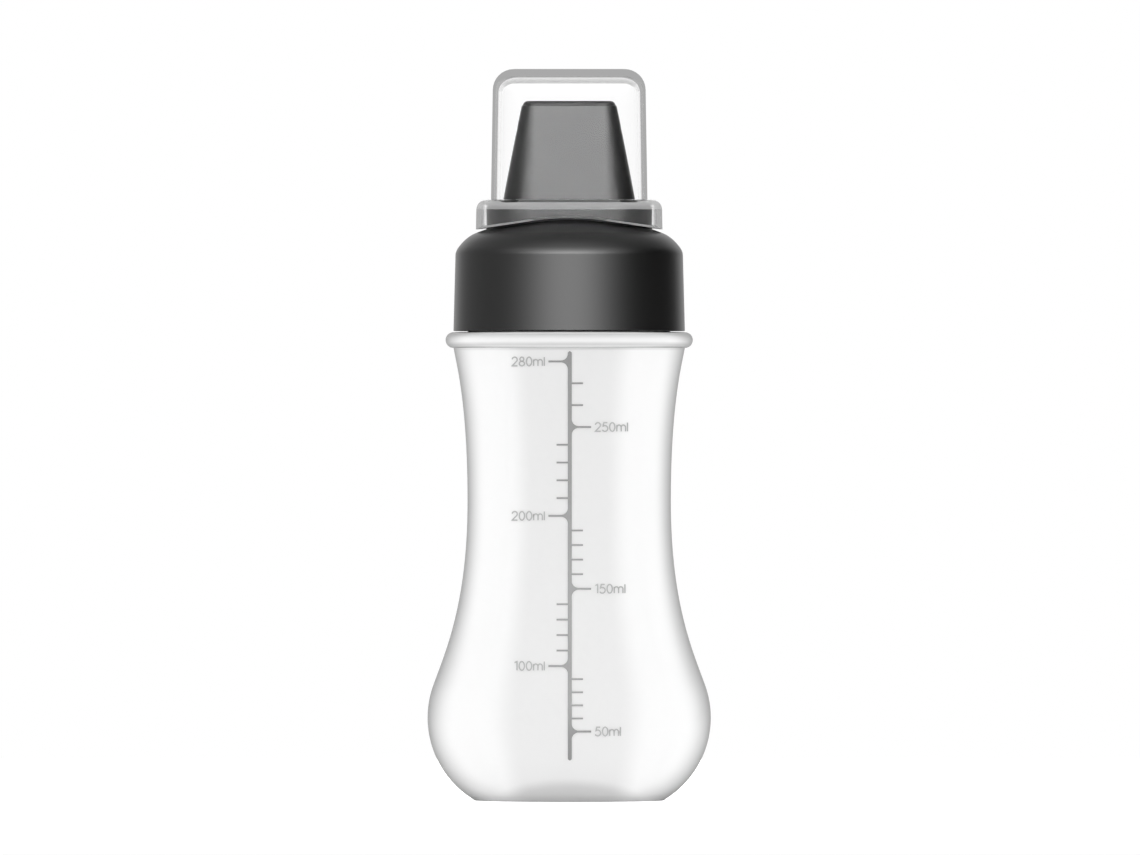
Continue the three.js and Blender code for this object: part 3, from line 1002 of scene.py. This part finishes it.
class Socket:
    """One output of a shader node; Python's operators add Math nodes."""

    def __init__(self, finish, link):
        self.finish = finish
        self.link = link

    def math(self, operation, *values):
        return self.finish.node("ShaderNodeMath", {"operation": operation}, dict(enumerate(values)))

    def __add__(self, other):
        return self.math("ADD", self, other)

    def __radd__(self, other):
        return self.math("ADD", other, self)

    def __sub__(self, other):
        return self.math("SUBTRACT", self, other)

    def __rsub__(self, other):
        return self.math("SUBTRACT", other, self)

    def __mul__(self, other):
        return self.math("MULTIPLY", self, other)

    def __rmul__(self, other):
        return self.math("MULTIPLY", other, self)

    def __truediv__(self, other):
        return self.math("DIVIDE", self, other)

    def __abs__(self):
        return self.math("ABSOLUTE", self)

    def root(self):
        return self.math("SQRT", self)

    def above(self, limit):
        return self.math("GREATER_THAN", self, limit)


class Finish:
    """A material or world whose nodes are added one by one."""

    def __init__(self, owner):
        owner.use_nodes = True
        self.owner = owner
        self.tree = owner.node_tree
        self.tree.nodes.clear()

    def node(self, kind, settings=None, values=None, output=0):
        """Adds a node, its settings first, and returns one output or a tuple's several."""
        made = self.tree.nodes.new(kind)
        for key, value in (settings or {}).items():
            if key == "stops":
                set_stops(made.color_ramp.elements, value)
            else:
                setattr(made, key, value)
        for key, value in (values or {}).items():
            if isinstance(value, Socket):
                self.tree.links.new(value.link, made.inputs[key])
            else:
                made.inputs[key].default_value = value
        if isinstance(output, tuple):
            return [Socket(self, made.outputs[name]) for name in output]
        return Socket(self, made.outputs[output])

    def end(self, kind, surface):
        made = self.tree.nodes.new(kind)
        self.tree.links.new(surface.link, made.inputs["Surface"])


def grey(level):
    return (level, level, level, 1)


def set_stops(stops, levels):
    """Gives a colour ramp its places and grey levels, of which the first place is 0."""
    stops.remove(stops[-1])
    for part, level in levels:
        stop = stops.new(part) if part else stops[0]
        stop.color = grey(level)


def new_finish(name):
    return Finish(bpy.data.materials.new(name))


def place(finish, kind="Object"):
    return finish.node("ShaderNodeTexCoord", output=kind)


def axes(finish, kind="Object"):
    """The place's three coordinates as separate values."""
    return finish.node("ShaderNodeSeparateXYZ", None, {"Vector": place(finish, kind)}, ("X", "Y", "Z"))


def ramp(finish, value, start, end, course="SMOOTHSTEP"):
    """Runs from one level to another as the value crosses a range."""
    return finish.node(
        "ShaderNodeMapRange",
        {"interpolation_type": course},
        {"Value": value, "From Min": start[0], "From Max": start[1], "To Min": end[0], "To Max": end[1]},
    )


def grain(finish, size):
    """Noise between 0 and 1 with features of a given size."""
    return finish.node(
        "ShaderNodeTexNoise", None, {"Vector": place(finish), "Scale": 1 / size, "Detail": 2}
    )


def bumped(finish, height, depth):
    return finish.node(
        "ShaderNodeBump", None, {"Height": height, "Distance": depth, "Strength": 1.0}
    )


def face_mark(finish, name):
    """A number that the piece's faces carry."""
    return finish.node("ShaderNodeAttribute", {"attribute_name": name}, output="Fac")


def slant(finish):
    """How far the surface leans away from the eye, between 0 and 1."""
    return finish.node("ShaderNodeLayerWeight", None, {"Blend": 0.5}, output="Facing")


def blend(finish, share, first, second):
    """Runs from one tone to another by a share."""
    return finish.node("ShaderNodeMix", {"data_type": "RGBA"}, {"Factor": share, 6: first, 7: second}, 2)


def shader_mix(finish, share, first, second):
    return finish.node("ShaderNodeMixShader", None, {0: share, 1: first, 2: second})


def cap_finish():
    """Dark moulded plastic with a fine spark-eroded skin."""
    finish = new_finish("dark_satin_plastic")
    skin = grain(finish, CAP_GRAIN)
    cloud = grain(finish, CAP_CLOUD)
    surface = finish.node(
        "ShaderNodeBsdfPrincipled",
        None,
        {
            "Base Color": blend(finish, cloud, grey(CAP_DARK), grey(CAP_PALE)),
            "Roughness": CAP_ROUGHNESS + CAP_ROUGHER * skin,
            "IOR": CAP_IOR,
            "Specular IOR Level": CAP_GLOSS,
            "Normal": bumped(finish, skin, CAP_BUMP),
        },
    )
    finish.end("ShaderNodeOutputMaterial", surface)
    return finish.owner


def bottle_tone_and_painted_shade(finish, cloud):
    """Painted shade at front, back, heel and under the bead; a painted highlight on the bead."""
    across, depth, height = axes(finish)
    radius = (across * across + depth * depth).root()
    sideways = abs(across) / radius
    # Painted shade, greyer at front and back
    front = ramp(finish, sideways, FRONT_SPAN, (1, 0))
    # Painted shade, an arch at the heel
    arched = height + HEEL_ARCH * (sideways * sideways)
    heel = ramp(finish, arched, HEEL_SPAN, (HEEL_PAINTED_SHADE, 0))
    # Painted shade, just under the bead
    line = ramp(finish, height, UNDER_BEAD_SHADE_SPAN, (0, UNDER_BEAD_PAINTED_SHADE))
    milk = MILK_TONE - MILK_CLOUD_SHADE * cloud
    body = milk * (1 - FRONT_PAINTED_SHADE * front) * (1 - heel) * (1 - line)
    # Painted highlight between two bands of painted shade, along the bead
    along_bead = ramp(finish, height, (BODY_HEIGHT, BEAD_TOP), (0, 1), "LINEAR")
    bands = finish.node("ShaderNodeValToRGB", {"stops": BEAD_PAINTED_BANDS}, {0: along_bead}, "Color")
    on_bead = ramp(finish, height, BEAD_BEGINS, (0, 1)) * ramp(finish, height, BEAD_ENDS, (1, 0))
    return blend(finish, on_bead, body, bands)


def bottle_finish():
    """Milky soft plastic that scatters light, with a dim gloss where it is grazed."""
    finish = new_finish("milky_soft_plastic")
    cloud = grain(finish, MILK_CLOUD)
    flow = grain(finish, MILK_FLOW)
    milk = finish.node(
        "ShaderNodeBsdfPrincipled",
        None,
        {
            "Base Color": bottle_tone_and_painted_shade(finish, cloud),
            "Roughness": MILK_ROUGHNESS + MILK_ROUGHER * cloud,
            "IOR": MILK_IOR,
            "Specular IOR Level": MILK_GLOSS,
            "Subsurface Weight": MILK_SUBSURFACE,
            "Subsurface Radius": (1, 1, 1),
            "Subsurface Scale": MILK_DEPTH,
            "Normal": bumped(finish, flow, MILK_BUMP),
        },
    )
    gloss = finish.node(
        "ShaderNodeBsdfAnisotropic", None, {"Color": grey(GRAZED_TONE), "Roughness": GRAZED_ROUGHNESS}
    )
    grazed = ramp(finish, slant(finish), GRAZED_SPAN, (0, 1))
    finish.end("ShaderNodeOutputMaterial", shader_mix(finish, grazed, milk, gloss))
    return finish.owner


def cover_finish():
    """Clear polished plastic with greyer edges, and pale satin as a painted highlight where its faces are
    marked so.
    """
    finish = new_finish("clear_polished_plastic")
    cloud = grain(finish, COVER_CLOUD)
    clear = finish.node(
        "ShaderNodeBsdfPrincipled",
        None,
        {
            "Base Color": grey(COVER_TONE),
            "Roughness": COVER_ROUGHNESS + COVER_ROUGHER * cloud,
            "IOR": COVER_IOR,
            "Specular Tint": grey(COVER_GLOSS),
            "Transmission Weight": 1.0,
        },
    )
    satin = finish.node(
        "ShaderNodeBsdfPrincipled",
        None,
        {"Base Color": grey(SATIN_TONE), "Roughness": SATIN_ROUGHNESS, "IOR": COVER_IOR},
    )
    edge_on = finish.node("ShaderNodeBsdfTransparent", None, {"Color": grey(WALL_EDGE_TONE)})
    skin = face_mark(finish, "outer_skin")
    roof = ramp(finish, axes(finish)[2], ROOF_SPAN, (0, 1))
    lean = slant(finish)
    threshold = GRAZE_WALL - (GRAZE_WALL - GRAZE_ROOF) * roof
    outer = ramp(finish, lean - threshold, (0, GRAZE_FADE), (0, 1)) * skin
    inner = ramp(finish, lean, GRAZE_INNER, (0, INNER_EDGE)) * (1 - skin) * roof
    wall = shader_mix(finish, outer + inner, clear, edge_on)
    # Painted highlight: pale satin on the shelf, skirt and lower rim
    surface = shader_mix(finish, face_mark(finish, "satin_highlight_share"), wall, satin)
    finish.end("ShaderNodeOutputMaterial", surface)
    return finish.owner


def seal_finish():
    """Pale silicone with a dull, faintly grained skin."""
    finish = new_finish("pale_silicone")
    skin = grain(finish, SEAL_GRAIN)
    surface = finish.node(
        "ShaderNodeBsdfPrincipled",
        None,
        {
            "Base Color": SEAL_TONE,
            "Roughness": SEAL_ROUGHNESS + SEAL_ROUGHER * skin,
            "Normal": bumped(finish, skin, SEAL_BUMP),
        },
    )
    finish.end("ShaderNodeOutputMaterial", surface)
    return finish.owner


def ink_finish():
    """Flat grey screen ink, paler in the numbers."""
    finish = new_finish("grey_ink")
    speck = grain(finish, INK_GRAIN)
    lines = blend(finish, speck, grey(INK_DARK), grey(INK_PALE))
    tone = blend(finish, face_mark(finish, "pale_ink"), lines, grey(FIGURE_INK))
    surface = finish.node(
        "ShaderNodeBsdfPrincipled", None, {"Base Color": tone, "Roughness": INK_ROUGHNESS}
    )
    finish.end("ShaderNodeOutputMaterial", surface)
    return finish.owner


def wear(piece, finish):
    piece.data.materials.clear()
    piece.data.materials.append(finish)


def add_floor():
    """A pale floor with a glow that the camera sees, and a faint one that lights surfaces."""
    bpy.ops.mesh.primitive_plane_add(size=FLOOR_SIZE)
    floor = bpy.context.object
    floor.name = "floor"
    finish = new_finish("pale_floor")
    seen, bounced = finish.node("ShaderNodeLightPath", output=("Is Camera Ray", "Is Diffuse Ray"))
    glow = FLOOR_GLOW * seen + FLOOR_BOUNCE * bounced
    shaded = finish.node("ShaderNodeBsdfDiffuse", None, {"Color": grey(FLOOR_TONE)})
    white = finish.node("ShaderNodeEmission", None, {"Color": grey(1), "Strength": glow})
    surface = finish.node("ShaderNodeAddShader", None, {0: shaded, 1: white})
    finish.end("ShaderNodeOutputMaterial", surface)
    wear(floor, finish.owner)


def room_level(finish, right, back, up):
    """Level that lights pale surfaces: brighter at the sides, dimmer at front, back and top."""
    room = ramp(finish, abs(back), ROOM_FALL, (ROOM_SIDE, ROOM_FRONT))
    room = room * ramp(finish, up, ROOM_RISE, (1, ROOM_TOP))
    return room * ramp(finish, right, (0, 1), (1, ROOM_RIGHT))


def studio_level(finish, right, back, up):
    """Level that glossy surfaces mirror: a key light ahead, grey sides and a white backdrop."""
    side = ramp(finish, right, STUDIO_SPREAD, (STUDIO_LEFT, STUDIO_RIGHT))
    backdrop = ramp(finish, back, BACK_SPREAD, (0, 1))
    ahead = ramp(finish, back, KEY_AHEAD, (1, 0))
    spread = ramp(finish, abs(right), KEY_SPREAD, (1, 0))
    foot = ramp(finish, up, KEY_FOOT, (0, 1))
    head = ramp(finish, up, KEY_HEAD, (1, KEY_TOP))
    key = KEY_LEVEL * ahead * spread * foot * head
    return side * (1 - backdrop) + backdrop + key


def light_world():
    """White to the camera, a soft room to pale surfaces and a graded studio to glossy ones."""
    world = bpy.data.worlds.new("white_surround")
    # The strength depends on each ray's path, which light sampling can't follow
    world.cycles.sampling_method = "NONE"
    bpy.context.scene.world = world
    finish = Finish(world)
    depths = ("Diffuse Depth", "Glossy Depth", "Transmission Depth")
    diffuse, glossy, passed = finish.node("ShaderNodeLightPath", output=depths)
    scattered = diffuse.above(NO_BOUNCE)
    reflected = glossy.above(NO_BOUNCE)
    inside = passed.above(NO_BOUNCE) * (1 - passed.above(CLEAR_BOUNCES))
    right, back, up = axes(finish, "Generated")
    room = room_level(finish, right, back, up)
    mirrored = studio_level(finish, right, back, up) * (1 - inside) + CLEAR_LEVEL * inside
    strength = scattered * room + (1 - scattered) * (reflected * mirrored + (1 - reflected))
    surface = finish.node("ShaderNodeBackground", None, {"Color": grey(1), "Strength": strength})
    finish.end("ShaderNodeOutputWorld", surface)


def add_lamp():
    bpy.ops.object.light_add(type="AREA", location=LAMP_PLACE)
    lamp = bpy.context.object
    lamp.name = "front_softbox"
    lamp.data.shape = "RECTANGLE"
    lamp.data.size, lamp.data.size_y = LAMP_SIZE
    lamp.data.energy = LAMP_POWER
    aim = Vector(LAMP_TARGET) - Vector(LAMP_PLACE)
    lamp.rotation_euler = aim.to_track_quat("-Z", "Y").to_euler()


def add_camera():
    """A long lens, level with the middle of the photo's frame."""
    data = bpy.data.cameras.new("camera")
    data.lens = CAMERA_LENS
    data.clip_end = CAMERA_REACH
    camera = bpy.data.objects.new("camera", data)
    bpy.context.collection.objects.link(camera)
    distance = FRAME_WIDTH * PIXEL * CAMERA_LENS / data.sensor_width
    across = (FRAME_WIDTH / 2 - AXIS_PIXEL) * PIXEL
    height = (BASE_PIXEL - FRAME_HEIGHT / 2) * PIXEL
    camera.location = (across, -distance, height)
    camera.rotation_euler = (math.pi / 2, 0, 0)
    bpy.context.scene.camera = camera


bottle = make_bottle()
seal = make_seal()
cap = make_cap()
cover = make_cover()
scale = make_printed_scale()

for piece in (bottle, seal, cap, cover):
    settle_shading(piece)
mark_cover(cover)

pieces = (
    (bottle, "bottle", "bottle", bottle_finish()),
    (seal, "seal", "cap_seal", seal_finish()),
    (cap, "cap", "screw_cap", cap_finish()),
    (cover, "cover", "dust_cover", cover_finish()),
)
for piece, body, node, finish in pieces:
    wear(piece, finish)
    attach(piece, body)
    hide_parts(node)
wear(scale, ink_finish())
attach(scale, "bottle")

add_floor()
light_world()
add_lamp()
add_camera()
bpy.context.scene.view_settings.view_transform = "Standard"
